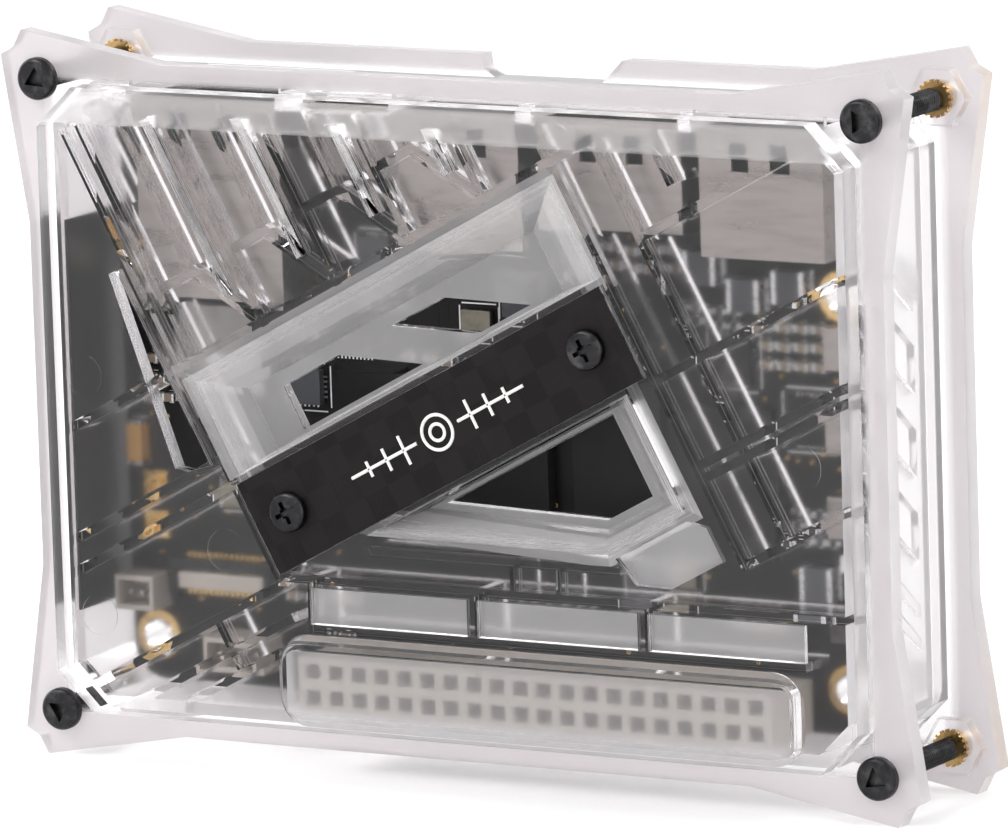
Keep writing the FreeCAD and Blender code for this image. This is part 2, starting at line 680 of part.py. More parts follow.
def plate_screws():
    """Black pan-head screws with a cross recess."""
    screws = []
    for index, place in enumerate(plate_screw_places()):
        x, z = place
        head = rod("pan_%d" % index, "Y", place, plate_screw_radius, panel_face - 0.9, panel_face)
        rim = doc.addObject("Part::Fillet", "pan_round_%d" % index)
        doc.recompute()
        rim.Base = head
        front_edge = [number + 1 for number, edge in enumerate(head.Shape.Edges)
                      if abs(edge.BoundBox.YMax - value_of(panel_face) + 0.9) < 0.001][0]
        rim.Edges = [(front_edge, HEAD_ROUND, HEAD_ROUND)]
        shank = rod("pan_shank_%d" % index, "Y", place, 0.8, panel_face - 0.2, 2.2)
        deep = (panel_face - 1.0, panel_face - 0.3)
        bars = [block("cross_a_%d" % index, (x - 1.15, x + 1.15), deep, (z - 0.22, z + 0.22)),
                block("cross_b_%d" % index, (x - 0.22, x + 0.22), deep, (z - 1.15, z + 1.15)),
                block("cross_c_%d" % index, (x - 0.45, x + 0.45), deep, (z - 0.45, z + 0.45))]
        screws.append(cut("plate_screw_%d" % index, fuse("pan_blank_%d" % index, [rim, shank]), bars))
    return tilt("plate_screws_place", [screws[0]]), tilt("plate_screws_other", [screws[1]])


# Keys and switches on the right edge of the board

switch_inner = board_width / 2 - 3.2
switch_mouth = board_width / 2 + 0.2
key_back = inner_x - 0.55
plunger_depth = (5.9, 7.1)


def side_key(index):
    """A clear key: a leaning stem through the wall and a wider foot that keeps it in."""
    name = KEY_NAMES[index]
    stem = plate(name + "_stem", key_outline(key_centre(index), 0), key_back,
                 shell_width / 2 + key_proud, "YZ")
    foot = plate(name + "_foot", key_outline(key_centre(index), 0.7), key_back, inner_x - 0.1, "YZ")
    return fuse(name + "_key_body", [stem, foot])


def side_switches():
    """Side-pushed switch bodies, each with a guide for its plunger."""
    bodies = []
    for index in range(3):
        centre = key_centre(index)
        housing = block("switch_housing_%d" % index, (switch_inner, switch_mouth),
                        (board_front - 3.2, board_front), (centre - 2.0, centre + 2.0))
        guide = block("switch_guide_%d" % index, (switch_mouth - 1.6, switch_mouth + 0.1),
                      (plunger_depth[0] - 0.06, plunger_depth[1] + 0.06), (centre - 1.26, centre + 1.26))
        bodies.append(cut("switch_%d" % index, housing, [guide]))
    return bodies


def switch_plunger(index):
    centre = key_centre(index)
    return block(KEY_NAMES[index] + "_plunger_body", (switch_mouth - 1.2, key_back), plunger_depth,
                 (centre - 1.2, centre + 1.2))


# Board

def on_board(name, centre, size, height):
    """A block that sits on the front of the board, by its centre and its size along X and Z."""
    x, z = centre
    width, depth = size
    return block(name, (x - width / 2, x + width / 2), (board_front - height, board_front),
                 (z - depth / 2, z + depth / 2))


def board():
    blank = rounded_plate("board_blank", (-board_width / 2, board_width / 2),
                          (-board_height / 2, board_height / 2), board_front, board_back, board_corner)
    holes = [rod("board_hole_%d" % index, "Y", place, hole_radius, board_front - 0.5, board_back + 0.5)
             for index, place in enumerate(board_hole_places())]
    low, high, _, _, depth = NETWORK
    network_gap = block("network_gap", (low - 0.2, high + 0.2), (board_front - 0.5, board_back + 0.5),
                        (socket_end - depth - 0.2, board_height / 2 + 1.0))
    return cut("board_body", blank, holes + [network_gap])


def hole_rings():
    """Gold-plated rings round the mounting holes."""
    rings = []
    for index, place in enumerate(board_hole_places()):
        disc = rod("ring_disc_%d" % index, "Y", place, 2.4, board_front - 0.06, board_front)
        hole = rod("ring_hole_%d" % index, "Y", place, hole_radius + 0.1,
                   board_front - 0.5, board_front + 0.5)
        rings.append(cut("ring_%d" % index, disc, [hole]))
    return rings


def socket_shell(name, place, sheet_metal, slots_on_front):
    """A folded metal socket shell, open at the top, with spring slots in its front face."""
    low, high, front, back, depth = place
    outside = block(name + "_outside", (low, high), (front, back), (socket_end - depth, socket_end))
    inside = block(name + "_inside", (low + sheet_metal, high - sheet_metal),
                   (front + sheet_metal, back - sheet_metal),
                   (socket_end - depth + sheet_metal, socket_end + 1.0))
    tools = [inside]
    for index in range(slots_on_front):
        x = low + (high - low) * (index + 1) / (slots_on_front + 1)
        tools.append(block("%s_slot_%d" % (name, index), (x - 0.9, x + 0.9),
                           (front - 0.5, front + sheet_metal), (socket_end - 4.2, socket_end - 1.4)))
    return cut(name + "_shell_body", outside, tools)


def socket_insert(name, place, sheet_metal, tongue, wall_depth):
    """The moulded back wall of a socket and the tongue that stands in its mouth, by its front and back."""
    low, high, front, back, depth = place
    foot = block(name + "_foot", (low + sheet_metal, high - sheet_metal),
                 (front + sheet_metal, back - sheet_metal),
                 (socket_end - depth + sheet_metal, socket_end - depth + sheet_metal + wall_depth))
    blade = block(name + "_blade", (low + 1.6, high - 1.6), tongue,
                  (socket_end - depth + sheet_metal + wall_depth - 0.2, socket_end - 1.2))
    return fuse(name + "_tongue_body", [foot, blade])


def network_parts():
    """The network socket: metal shell, moulded housing with its cavity, and eight sprung contacts."""
    low, high, front, back, depth = NETWORK
    shell_part = socket_shell("network", NETWORK, 0.3, 2)
    housing = block("network_block", (low + 0.3, high - 0.3), (front + 0.3, back - 0.3),
                    (socket_end - depth + 0.3, socket_end - 0.4))
    cavity = block("network_cavity", (low + 2.1, high - 2.1), (front + 2.9, back - 2.2),
                   (socket_end - 13.0, socket_end + 1.0))
    latch = block("network_latch", (low + 5.0, high - 5.0), (front + 1.3, front + 3.0),
                  (socket_end - 8.0, socket_end + 1.0))
    housing_part = cut("network_housing_body", housing, [cavity, latch])
    contacts = []
    for index in range(8):
        x = (low + high) / 2 + 1.02 * (index - 3.5)
        contacts.append(block("network_contact_%d" % index, (x - 0.15, x + 0.15), (back - 2.5, back - 2.2),
                              (socket_end - 12.9, socket_end - 3.0)))
    return shell_part, housing_part, contacts


def header_parts():
    """The two-row pin socket strip and the contacts inside it."""
    length = header_pitch * HEADER_COLUMNS + 0.6
    front = board_front - header_height
    strip = block("header_strip", (header_centre_x - length / 2, header_centre_x + length / 2),
                  (front, board_front), (header_centre_z - header_pitch, header_centre_z + header_pitch))
    mouths = []
    contacts = []
    for column in range(HEADER_COLUMNS):
        x = header_centre_x + header_pitch * (column - (HEADER_COLUMNS - 1) / 2)
        for row in (-1, 1):
            z = header_centre_z + header_pitch * (row * 0.5)
            tag = "%d_%d" % (column, row + 1)
            mouths.append(block("mouth_" + tag, (x - 0.8, x + 0.8), (front - 0.1, front + 2.4),
                                (z - 0.75, z + 0.75)))
            contacts.append(block("contact_" + tag, (x - 0.3, x + 0.3), (front + 2.5, board_back + 0.9),
                                  (z - 0.3, z + 0.3)))
            mouths.append(block("well_" + tag, (x - 0.3, x + 0.3), (front + 2.0, board_front + 0.1),
                                (z - 0.3, z + 0.3)))
    return cut("header_strip_body", strip, mouths), contacts


def pin_holes():
    """Holes in the board for the strip's contacts, a little wider than each contact."""
    holes = []
    for column in range(HEADER_COLUMNS):
        x = header_centre_x + header_pitch * (column - (HEADER_COLUMNS - 1) / 2)
        for row in (-1, 1):
            z = header_centre_z + header_pitch * (row * 0.5)
            holes.append(block("pin_hole_%d_%d" % (column, row + 1), (x - 0.3, x + 0.3),
                               (board_front - 0.1, board_back + 0.1), (z - 0.3, z + 0.3)))
    return holes


def scatter(name, places, size, height):
    """Small identical parts, each standing on the board at its own place."""
    return [on_board("%s_%d" % (name, index), place, size, height) for index, place in enumerate(places)]


def grid(columns, rows, start, step):
    return [(start[0] + step[0] * column, start[1] + step[1] * row)
            for row in range(rows) for column in range(columns)]


CAPACITORS = (grid(5, 2, (12.0, 14.6), (2.1, 1.7)) + grid(4, 3, (30.4, 6.2), (1.9, 1.8))
              + grid(6, 1, (-8.6, 4.6), (2.4, 0)) + grid(2, 3, (-37.8, -1.0), (1.7, 1.9))
              + grid(4, 2, (-22.4, -19.6), (2.2, 1.6)) + grid(3, 2, (26.6, -19.0), (2.0, 1.8)))
RESISTORS = (grid(5, 2, (20.8, 9.6), (1.5, 1.3)) + grid(4, 2, (-13.6, 9.4), (1.4, 1.3))
             + grid(5, 1, (-22.4, 6.4), (1.4, 0)) + grid(4, 3, (32.6, -10.6), (1.4, 1.3))
             + grid(6, 1, (2.4, -18.2), (1.6, 0)))
INDUCTORS = [(24.0, 15.2), (28.6, 12.8), (33.4, 13.8), (35.6, -14.4)]
POWER_CHIPS = [(26.4, 6.4), (34.8, 1.0)]
INTERFACE_CHIPS = [(-20.5, 1.0), (3.4, 10.8), (-12.0, 14.4), (16.6, -16.2)]
CRYSTALS = [(-1.3, 8.3), (-28.4, -10.0), (20.6, -14.6)]
MEMORY_CHIPS = [(14.0, -3.8), (26.0, -5.4)]
LAMPS = [(38.2, -12.4), (39.8, -12.4)]
RECEPTACLES = [(-37.8, -9.6), (-37.8, -13.6)]
AMBER_CAPACITORS = [((-38.1, 16.8), (2.4, 2.2)), ((-39.3, -5.4), (1.6, 4.4))]


def receptacle(index, place):
    ring = rod("receptacle_ring_%d" % index, "Y", place, 0.95, board_front - 0.9, board_front)
    base = on_board("receptacle_base_%d" % index, place, (2.6, 2.6), 0.35)
    well = rod("receptacle_well_%d" % index, "Y", place, 0.7, board_front - 1.0, board_front - 0.4)
    core = rod("receptacle_core_%d" % index, "Y", place, 0.22, board_front - 0.8, board_front - 0.2)
    blank = fuse("receptacle_blank_%d" % index, [ring, base])
    return fuse("receptacle_%d" % index, [cut("receptacle_cup_%d" % index, blank, [well]), core])


FLAT_CABLE = (-30.2, -18.4)
FLAT_CABLE_LENGTH = 9.4


def flat_cable_parts():
    """The flat-cable connector: housing, gold contacts and the latch that flips up."""
    x, z = FLAT_CABLE
    half = FLAT_CABLE_LENGTH / 2
    base = on_board("cable_base", (x, z), (FLAT_CABLE_LENGTH + 2.0, 3.6), 1.3)
    trough = block("cable_trough", (x - half - 0.15, x + half + 0.15),
                   (board_front - 1.4, board_front - 0.35), (z - 2.0, z + 0.8))
    lanes = [(x - half + 0.5 + 0.6 * index, x - half + 0.8 + 0.6 * index) for index in range(15)]
    lane_depth = (board_front - 0.35, board_front - 0.2)
    contacts = [block("cable_contact_%d" % index, lane, lane_depth, (z - 1.8, z + 2.3))
                for index, lane in enumerate(lanes)]
    contact_wells = [block("cable_well_%d" % index, lane, lane_depth, (z - 1.9, z + 2.4))
                     for index, lane in enumerate(lanes)]
    pivot = (board_front - 0.925, z + 0.125)
    latch = fuse("cable_latch_body", [
        block("cable_latch_bar", (x - half, x + half), (pivot[0] - 0.375, pivot[0] + 0.375),
              (z - 1.1, pivot[1])),
        rod("cable_latch_edge", "X", pivot, 0.375, x - half, x + half),
        rod("cable_latch_pin", "X", pivot, 0.25, x - half - 0.5, x + half + 0.5)])
    pin_bore = rod("cable_pin_bore", "X", pivot, 0.3, x - half - 0.6, x + half + 0.6)
    return cut("cable_housing_body", base, [trough, pin_bore] + contact_wells), contacts, latch


def small_connector(name, centre, pins):
    """A wire-to-board connector, open towards the front, with its pins standing in it."""
    x, z = centre
    width = 1.25 * pins + 1.8
    box = on_board(name + "_box", centre, (width, 3.4), 3.6)
    room = block(name + "_room", (x - width / 2 + 0.4, x + width / 2 - 0.4),
                 (board_front - 3.7, board_front - 1.0), (z - 1.2, z + 1.2))
    posts = [block("%s_pin_%d" % (name, index), (x + 1.25 * (index - (pins - 1) / 2) - 0.2,
                                                 x + 1.25 * (index - (pins - 1) / 2) + 0.2),
                   (board_front - 3.2, board_front - 0.9), (z - 0.2, z + 0.2)) for index in range(pins)]
    return fuse(name + "_body", [cut(name + "_shell", box, [room])] + posts)


def card_slot():
    """The memory card slot on the back of the board."""
    outside = block("card_outside", (-35.0, -21.0), (board_back, board_back + 1.8), (-28.9, -14.5))
    inside = block("card_inside", (-33.8, -22.2), (board_back + 0.3, board_back + 1.5), (-29.2, -15.0))
    return cut("card_slot_body", outside, [inside])


def infrared_receiver():
    body_part = on_board("infrared_block", (38.9, -18.0), (3.0, 3.4), 2.4)
    lens = doc.addObject("Part::Sphere", "infrared_lens")
    lens.Radius = 1.1
    move(lens, 38.9, board_front - 2.3, -18.0)
    return fuse("infrared_body", [body_part, lens])


# Sub-parts

finish("front_shell", front_shell())
finish("back_shell", back_shell())
finish("name_plate", name_plate())
finish("name_plate_screws", list(plate_screws()))
finish("case_screws", case_screws())
finish("threaded_inserts", threaded_inserts())

header_strip_part, header_contacts = header_parts()
finish("main_board", cut("board_drilled", board(), pin_holes()))
finish("board_hole_rings", hole_rings())
finish("pin_socket_strip", header_strip_part)
finish("pin_socket_contacts", header_contacts)

network_shell, network_housing, network_contacts = network_parts()
finish("network_socket_shell", network_shell)
finish("network_socket_housing", network_housing)
finish("network_socket_contacts", network_contacts)
for label, place, metal, front_slots, tongue, wall_depth in (
        ("usb_c_socket", USB_C, 0.3, 0, (6.0, 6.7), 2.0),
        ("usb_a_socket_left", USB_LEFT, 0.35, 2, (5.2, 7.0), 3.0),
        ("video_socket", VIDEO, 0.35, 2, (4.6, 5.7), 3.0),
        ("usb_a_socket_right", USB_RIGHT, 0.35, 2, (5.2, 7.0), 3.0)):
    finish(label + "_shell", socket_shell(label, place, metal, front_slots))
    finish(label + "_tongue", socket_insert(label, place, metal, tongue, wall_depth))

finish("processor", on_board("processor_block", (-2.0, -5.5), (17.0, 17.0), 1.4))
finish("memory_chips", scatter("memory", MEMORY_CHIPS, (10.0, 14.5), 1.0))
finish("storage_chip", on_board("storage_block", (-19.4, -9.4), (11.5, 9.0), 1.0))
finish("radio_can", on_board("radio_block", (-29.5, 4.4), (10.0, 8.6), 1.7))
finish("power_chips", scatter("power_chip", POWER_CHIPS, (4.6, 4.6), 0.9))
finish("interface_chips", scatter("interface_chip", INTERFACE_CHIPS, (3.4, 3.4), 0.9))
finish("crystals", scatter("crystal", CRYSTALS, (3.2, 2.5), 0.8))
finish("inductors", scatter("inductor", INDUCTORS, (3.4, 3.2), 1.8))
finish("ceramic_capacitors", scatter("capacitor", CAPACITORS, (1.3, 0.8), 0.8))
finish("amber_capacitors", [on_board("amber_%d" % index, place, size, 1.6)
                            for index, (place, size) in enumerate(AMBER_CAPACITORS)])
finish("chip_resistors", scatter("resistor", RESISTORS, (1.0, 0.55), 0.4))
finish("status_lamps", scatter("lamp", LAMPS, (0.9, 1.6), 0.7))
finish("antenna_receptacles", [receptacle(index, place) for index, place in enumerate(RECEPTACLES)])
finish("infrared_receiver", infrared_receiver())
cable_housing, cable_contacts, cable_latch = flat_cable_parts()
finish("flat_cable_housing", cable_housing)
finish("flat_cable_contacts", cable_contacts)
finish("flat_cable_latch", cable_latch)
finish("fan_connector", small_connector("fan", (-27.6, -25.4), 4))
finish("clock_battery_connector", small_connector("clock", (-38.7, -19.9), 2))
finish("card_slot", card_slot())
finish("stick_on_antenna", block("antenna_strip", (-inner_x, -inner_x + 0.25), (0.0, 10.0), (-21.0, 17.4)))
finish("side_switches", side_switches())
for number in range(3):
    finish(KEY_NAMES[number] + "_key", side_key(number))
    finish(KEY_NAMES[number] + "_plunger", switch_plunger(number))

doc.recompute()

for item in doc.Objects:
    if "Invalid" in item.State or "Error" in item.State:
        raise RuntimeError("%s did not recompute: %s" % (item.Label, item.State))
for node in nodes:
    if node.Shape.isNull() or not node.Shape.isValid():
        raise RuntimeError("%s has no valid shape" % node.Label)

os.makedirs("parts", exist_ok=True)
for node in nodes:
    node.Shape.exportStep("parts/%s.step" % node.Label)
    box = node.Shape.BoundBox
    print("%-28s %3d solids  x %7.2f %7.2f  y %7.2f %7.2f  z %7.2f %7.2f" % (
        node.Label, len(node.Shape.Solids), box.XMin, box.XMax, box.YMin, box.YMax, box.ZMin, box.ZMax))
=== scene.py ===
"""Single board computer in a clear case: looks, small pieces, floor, lights and camera.

Lengths are in metres in the row frame: X along the case, the front faces -Y, +Z is up.
"""
import json
import math
import random

import bmesh
import bpy
from mathutils import Matrix, Vector


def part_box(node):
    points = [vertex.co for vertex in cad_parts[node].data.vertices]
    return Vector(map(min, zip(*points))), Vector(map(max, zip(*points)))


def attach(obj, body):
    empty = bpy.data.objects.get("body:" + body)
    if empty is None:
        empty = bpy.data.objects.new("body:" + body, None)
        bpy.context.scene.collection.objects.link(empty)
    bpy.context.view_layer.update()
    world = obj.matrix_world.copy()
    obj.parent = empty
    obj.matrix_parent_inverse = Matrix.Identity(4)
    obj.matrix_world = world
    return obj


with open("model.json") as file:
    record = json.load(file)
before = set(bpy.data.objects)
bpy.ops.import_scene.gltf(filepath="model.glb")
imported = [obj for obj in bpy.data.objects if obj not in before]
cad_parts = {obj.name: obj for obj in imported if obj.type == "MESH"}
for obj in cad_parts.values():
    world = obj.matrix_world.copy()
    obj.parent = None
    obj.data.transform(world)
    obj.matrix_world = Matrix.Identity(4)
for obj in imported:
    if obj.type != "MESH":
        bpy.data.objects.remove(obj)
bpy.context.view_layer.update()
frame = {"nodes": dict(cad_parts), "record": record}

scene = bpy.context.scene
MM = 0.001

# Places that everything else is worked out from
CASE_LOW, CASE_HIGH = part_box("front_shell")
PLATE_LOW, PLATE_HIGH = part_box("name_plate")
BOARD_LOW, BOARD_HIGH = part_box("main_board")
PANEL_TILT = math.radians(28.0)
PANEL_CENTRE = (PLATE_LOW + PLATE_HIGH) / 2
BOARD_FACE = BOARD_LOW.y
SKIN_BACK = PLATE_LOW.y + 1.8 * MM
COVER_BACK = PLATE_LOW.y + 0.4 * MM
FIELD_FLOOR = PLATE_LOW.y + 3.0 * MM
CELL_FLOOR = PLATE_LOW.y + 0.8 * MM
THREAD_START = PLATE_LOW.y + 4.4 * MM
THREAD_END = PLATE_LOW.y + 16.5 * MM
SLOT_OF = {part["node"]: part["material_slot"] for part in frame["record"]["subparts"]}


# Node helpers

class Finish:
    """One material and its node tree, with short calls for the nodes that it needs."""

    def __init__(self, name):
        self.material = bpy.data.materials.new(name)
        self.material.use_nodes = True
        self.tree = self.material.node_tree
        self.shader = self.tree.nodes["Principled BSDF"]
        self.output = self.tree.nodes["Material Output"]
        coordinates = self.add("ShaderNodeTexCoord")
        self.place = coordinates.outputs["Object"]
        self.normal = coordinates.outputs["Normal"]

    def add(self, kind, **settings):
        node = self.tree.nodes.new(kind)
        for key, value in settings.items():
            setattr(node, key, value)
        return node

    def link(self, source, target):
        self.tree.links.new(source, target)

    def feed(self, socket, value):
        """A constant or another node's output into a socket."""
        if isinstance(value, bpy.types.NodeSocket):
            self.link(value, socket)
        elif isinstance(value, tuple):
            socket.default_value = (*value, 1.0)
        else:
            socket.default_value = value

    def set(self, **values):
        """Constants on the shader's own sockets."""
        for key, value in values.items():
            self.feed(self.shader.inputs[key.replace("_", " ")], value)

    def noise(self, scale, detail=4.0, roughness=0.55, source=None):
        node = self.add("ShaderNodeTexNoise")
        node.inputs["Scale"].default_value = scale
        node.inputs["Detail"].default_value = detail
        node.inputs["Roughness"].default_value = roughness
        self.link(source or self.place, node.inputs["Vector"])
        return node.outputs["Fac"]

    def math(self, operation, a, b=0.0):
        node = self.add("ShaderNodeMath", operation=operation)
        self.feed(node.inputs[0], a)
        self.feed(node.inputs[1], b)
        return node.outputs[0]

    def spread(self, source, low, high, start=0.3, end=0.7):
        """The source's values from start to end, mapped from low to high."""
        node = self.add("ShaderNodeMapRange")
        for key, value in (("From Min", start), ("From Max", end), ("To Min", low), ("To Max", high)):
            node.inputs[key].default_value = value
        self.link(source, node.inputs["Value"])
        return node.outputs["Result"]

    def between(self, source, low, high, soft):
        """1 where the source lies between low and high, with a soft edge."""
        rising = self.spread(source, 0.0, 1.0, low - soft, low + soft)
        falling = self.spread(source, 1.0, 0.0, high - soft, high + soft)
        return self.math("MULTIPLY", rising, falling)

    def ramp(self, source, stops):
        node = self.add("ShaderNodeValToRGB")
        elements = node.color_ramp.elements
        while len(elements) < len(stops):
            elements.new(0.5)
        for element, (position, colour) in zip(elements, stops):
            element.position = position
            element.color = (*colour, 1.0)
        self.link(source, node.inputs["Fac"])
        return node.outputs["Color"]

    def mix(self, factor, a, b):
        node = self.add("ShaderNodeMix", data_type="RGBA")
        self.feed(node.inputs["Factor"], factor)
        self.feed(node.inputs[6], a)
        self.feed(node.inputs[7], b)
        return node.outputs[2]

    def turned(self, rotation=(0.0, 0.0, 0.0), scale=(1.0, 1.0, 1.0)):
        """The object's place, turned and stretched."""
        node = self.add("ShaderNodeMapping")
        node.inputs["Rotation"].default_value = rotation
        node.inputs["Scale"].default_value = scale
        self.link(self.place, node.inputs["Vector"])
        return node.outputs[0]

    def bump(self, height, strength, distance):
        node = self.add("ShaderNodeBump")
        node.inputs["Strength"].default_value = strength
        node.inputs["Distance"].default_value = distance
        self.link(height, node.inputs["Height"])
        self.link(node.outputs["Normal"], self.shader.inputs["Normal"])

    def axes(self, source=None):
        node = self.add("ShaderNodeSeparateXYZ")
        self.link(source or self.place, node.inputs[0])
        return node.outputs


# Materials

# Where each region of the clear plastic fades in: distances from the case's middle, then places along Y
FLANGE_FROM_X = (44.0 * MM, 44.6 * MM)
FLANGE_FROM_Z = (30.8 * MM, 31.4 * MM)
WALL_FROM_X = (42.1 * MM, 42.2 * MM)
WALL_FROM_Z = (28.9 * MM, 29.0 * MM)
AMBER_FROM_X = (46.6 * MM, 49.4 * MM)
BAND_LOW = 27.2 * MM
BAND_HIGH = 30.4 * MM
BAND_BACK = (-6.0 * MM, -5.9 * MM)
AMBER_FROM_Y = (8.0 * MM, 8.7 * MM)
FACE_REACH = 0.1 * MM
FACE_SOFT = 0.02 * MM
FLANGE_MILK = 0.42
WALL_MILK = 0.22
BAND_MILK = 0.12
SIDE_INDEX = 1.5
FLAT_INDEX = 1.33


def clear_plastic():
    """Clear moulded polycarbonate, open to the lamps' light.

    Most faces are polished. The flanges, the outer walls, a band along the top, the skin's inner face, the
    sunk fields and the inside of the socket cover are textured, so they scatter. The index of refraction is
    below polycarbonate's own, most of all on faces that look forward or back.
    """
    finish = Finish("clear_polycarbonate")
    x, y, z = finish.axes()
    _, facing, _ = finish.axes(finish.normal)
    steepness = finish.math("ABSOLUTE", facing)
    sideways = finish.spread(steepness, 1.0, 0.0, 0.5, 0.8)
    middle = (CASE_LOW.z + CASE_HIGH.z) / 2
    reach_x = finish.math("ABSOLUTE", x)
    reach_z = finish.math("ABSOLUTE", finish.math("SUBTRACT", z, middle))
    outside = finish.math("MAXIMUM", finish.spread(reach_x, 0.0, 1.0, *FLANGE_FROM_X),
                          finish.spread(reach_z, 0.0, 1.0, *FLANGE_FROM_Z))
    at_wall = finish.math("MAXIMUM", finish.spread(reach_x, 0.0, 1.0, *WALL_FROM_X),
                          finish.spread(reach_z, 0.0, 1.0, *WALL_FROM_Z))
    wall = finish.math("MULTIPLY", sideways, at_wall)
    inner_skin = finish.between(y, SKIN_BACK - FACE_REACH, SKIN_BACK + FACE_REACH, FACE_SOFT)
    cover = finish.between(y, COVER_BACK - FACE_REACH, COVER_BACK + FACE_REACH, FACE_SOFT)
    band = finish.math("MULTIPLY", finish.between(z, middle + BAND_LOW, middle + BAND_HIGH, 0.05 * MM),
                       finish.spread(y, 1.0, 0.0, *BAND_BACK))
    field = finish.between(y, FIELD_FLOOR - FACE_REACH, FIELD_FLOOR + FACE_REACH, FACE_SOFT)
    leaning = finish.math("MULTIPLY", finish.between(steepness, 0.25, 0.96, 0.02),
                          finish.between(y, PLATE_LOW.y + FACE_SOFT, FIELD_FLOOR + 1.0 * MM, FACE_SOFT))
    cells = finish.between(y, CELL_FLOOR - FACE_REACH, CELL_FLOOR + FACE_REACH, FACE_SOFT)
    rough = finish.spread(finish.noise(420.0), 0.012, 0.03)
    cloud = None
    for mask, roughness, milk in ((outside, 0.38, FLANGE_MILK), (wall, 0.3, WALL_MILK),
                                  (band, 0.36, BAND_MILK),
                                  (inner_skin, 0.23, 0.0), (cover, 0.5, 0.2), (field, 0.36, 0.22),
                                  (leaning, 0.24, 0.24), (cells, 0.3, 0.26)):
        rough = finish.math("MAXIMUM", rough, finish.math("MULTIPLY", mask, roughness))
        share = finish.math("MULTIPLY", mask, milk)
        cloud = share if cloud is None else finish.math("MAXIMUM", cloud, share)
    finish.link(rough, finish.shader.inputs["Roughness"])
    drift = finish.spread(finish.noise(60.0, 2.0), 0.94, 1.06)
    finish.link(finish.math("SUBTRACT", 1.0, finish.math("MULTIPLY", cloud, drift)),
                finish.shader.inputs["Transmission Weight"])
    right_edge = finish.math("MULTIPLY", finish.spread(x, 0.0, 1.0, *AMBER_FROM_X),
                             finish.spread(y, 0.0, 1.0, *AMBER_FROM_Y))
    clear_tint = finish.mix(outside, (0.93, 0.917, 0.925), (0.74, 0.705, 0.72))
    amber_share = finish.math("MULTIPLY", finish.math("MULTIPLY", right_edge, sideways), 0.35)
    finish.link(finish.mix(amber_share, clear_tint, (0.72, 0.52, 0.27)), finish.shader.inputs["Base Color"])
    finish.link(finish.spread(steepness, SIDE_INDEX, FLAT_INDEX, 0.9, 0.97), finish.shader.inputs["IOR"])
    path = finish.add("ShaderNodeLightPath")
    through = finish.add("ShaderNodeBsdfTransparent")
    through.inputs["Color"].default_value = (0.975, 0.972, 0.973, 1.0)
    shade = finish.add("ShaderNodeMixShader")
    finish.link(path.outputs["Is Shadow Ray"], shade.inputs["Fac"])
    finish.link(finish.shader.outputs[0], shade.inputs[1])
    finish.link(through.outputs[0], shade.inputs[2])
    finish.link(shade.outputs[0], finish.output.inputs["Surface"])
    return finish.material


def twill():
    """Dark woven laminate under a clear coat: square floats that catch the light in turn, shown by a
    painted sheen in their two colours as well as by their roughness.
    """
    finish = Finish("dark_twill")
    along, _, across = finish.axes(finish.turned((0.0, PANEL_TILT, 0.0)))
    tow = 2.9 * MM
    column = finish.math("FLOOR", finish.math("DIVIDE", along, tow))
    row = finish.math("FLOOR", finish.math("DIVIDE", across, tow))
    step = finish.math("MODULO", finish.math("ADD", finish.math("ADD", column, row), 400.0), 2.0)
    warp = finish.math("LESS_THAN", step, 1.0)
    threads = 0.09 * MM
    warp_line = finish.math("SINE", finish.math("DIVIDE", across, threads))
    weft_line = finish.math("SINE", finish.math("DIVIDE", along, threads))
    fine = finish.mix(warp, weft_line, warp_line)
    grain = finish.noise(260.0)
    # Warp and weft floats get a darker and a lighter painted tone: painted sheen for how each set catches
    # the light
    shade = finish.mix(warp, (0.0065, 0.0055, 0.0057), (0.0115, 0.0095, 0.0098))
    finish.link(finish.mix(finish.spread(grain, 0.0, 0.4, 0.45, 0.7), shade, (0.017, 0.013, 0.0135)),
                finish.shader.inputs["Base Color"])
    finish.link(finish.spread(warp, 0.42, 0.6, 0.0, 1.0), finish.shader.inputs["Roughness"])
    finish.bump(finish.math("ADD", finish.math("MULTIPLY", fine, 0.5), warp), 0.2, 0.00004)
    finish.set(Specular_IOR_Level=0.12, Coat_Weight=0.03, Coat_Roughness=0.1)
    return finish.material


def metal(name, colour, low, high, scale=600.0, streak=1.0, wear=0.0):
    """Sheet or turned metal with fine marks that run along X."""
    finish = Finish(name)
    marks = finish.noise(scale, 5.0, 0.6, finish.turned(scale=(1.0 / streak, 1.0, 1.0)))
    dark = tuple(0.72 * value for value in colour)
    bright = tuple(min(1.0, value + wear + 0.05) for value in colour)
    shade = finish.ramp(marks, ((0.3, dark), (0.5, colour), (0.75, bright)))
    finish.link(shade, finish.shader.inputs["Base Color"])
    finish.link(finish.spread(marks, low, high), finish.shader.inputs["Roughness"])
    finish.bump(marks, 0.12, 0.00002)
    finish.set(Metallic=1.0)
    return finish.material


def plastic(name, colour, low, high, scale=700.0, bump=0.12, coat=0.0, specular=0.5):
    """Moulded plastic, epoxy or ceramic with a fine grain and a slow colour drift."""
    finish = Finish(name)
    grain = finish.noise(scale, 6.0, 0.6)
    drift = finish.noise(120.0, 2.0)
    dark = tuple(0.8 * value for value in colour)
    bright = tuple(min(1.0, 1.14 * value + 0.004) for value in colour)
    finish.link(finish.mix(finish.spread(drift, 0.0, 1.0), finish.mix(grain, dark, bright), colour),
                finish.shader.inputs["Base Color"])
    finish.link(finish.spread(grain, low, high), finish.shader.inputs["Roughness"])
    finish.bump(grain, bump, 0.00003)
    finish.set(Coat_Weight=coat, Specular_IOR_Level=specular)
    return finish.material


